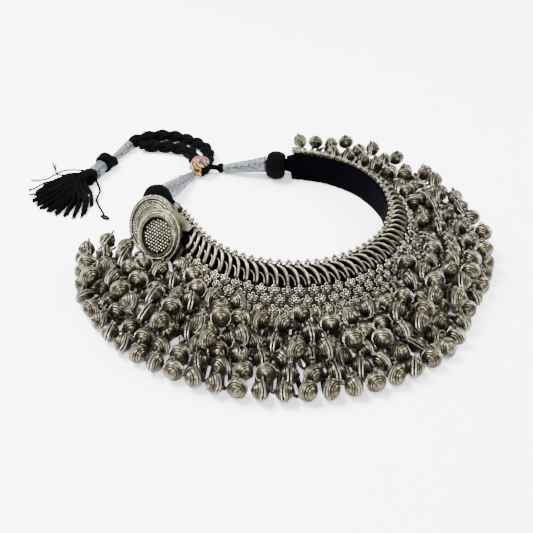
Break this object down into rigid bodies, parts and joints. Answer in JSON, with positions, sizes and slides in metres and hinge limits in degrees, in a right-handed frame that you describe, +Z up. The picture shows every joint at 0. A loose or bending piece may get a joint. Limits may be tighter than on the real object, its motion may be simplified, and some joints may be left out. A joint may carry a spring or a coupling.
{
  "type": "choker",
  "caption": "Bell collar choker lying open on a surface: velvet neck band with silver mesh, a fringe of slit bells, stacked end discs and a tie cord with bead and tassel.",
  "frame": {"origin": "centre of the neck opening, on the surface that the choker lies on", "axes": "+Z up off the surface, -Y out of the middle of the bell fringe, +Y towards the tie cord, +X towards the end without discs"},
  "size_m": [0.2435, 0.2925, 0.0318],
  "materials": {
    "velvet": "black velvet with a dark blue tinge",
    "thread": "black cotton thread",
    "silver": "oxidised white metal, dark in the recesses",
    "pale_silver": "oxidised white metal, paler and more worn",
    "silver_thread": "flattened silver thread wrapping",
    "gold_thread": "gold thread with a red patch and a black band"
  },
  "bodies": {
    "root": {"velvet_band": "velvet", "near_bulb": "thread", "far_bulb": "thread", "top_edge": "silver", "link_row": "silver", "rosette_band": "silver", "loop_row": "silver", "near_tab": "silver", "far_tab": "silver", "front_disc": "pale_silver", "back_disc": "pale_silver", "bells_row_1": "silver", "bells_row_2": "silver", "bells_row_3": "silver", "bells_row_4": "silver", "bells_row_5": "silver", "near_wrap": "silver_thread", "far_wrap": "silver_thread", "far_cord": "thread", "slider_bead": "gold_thread", "outer_rope": "thread", "inner_rope": "thread", "upper_wrap": "silver_thread", "tassel_knot": "thread", "lower_wrap": "silver_thread", "tassel": "thread"}
  },
  "joints": []
}
